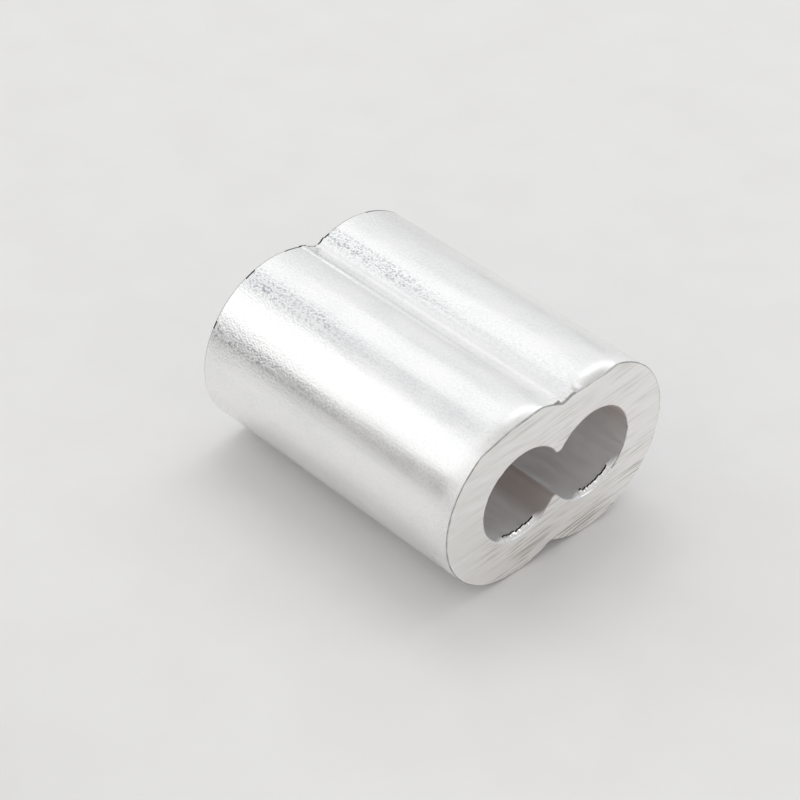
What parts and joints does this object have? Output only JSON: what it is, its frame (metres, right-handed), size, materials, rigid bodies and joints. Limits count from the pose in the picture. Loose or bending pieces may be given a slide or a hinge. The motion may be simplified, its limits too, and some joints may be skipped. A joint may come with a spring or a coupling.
{
  "type": "wire rope crimping sleeve",
  "caption": "Short hourglass-section aluminium sleeve with side-by-side rope passages that open into each other, pressed shut to close a wire rope eye.",
  "frame": {"origin": "middle of the sleeve, halfway between its sawn ends and midway between its passages", "axes": "+Y along the rope passages, +X across the lobes, +Z through the sleeve's thickness"},
  "size_m": [0.0102, 0.012, 0.0068],
  "materials": {
    "aluminium": "satin drawn skin, sawn ends"
  },
  "bodies": {
    "root": {"ferrule_sleeve": "aluminium"}
  },
  "joints": []
}
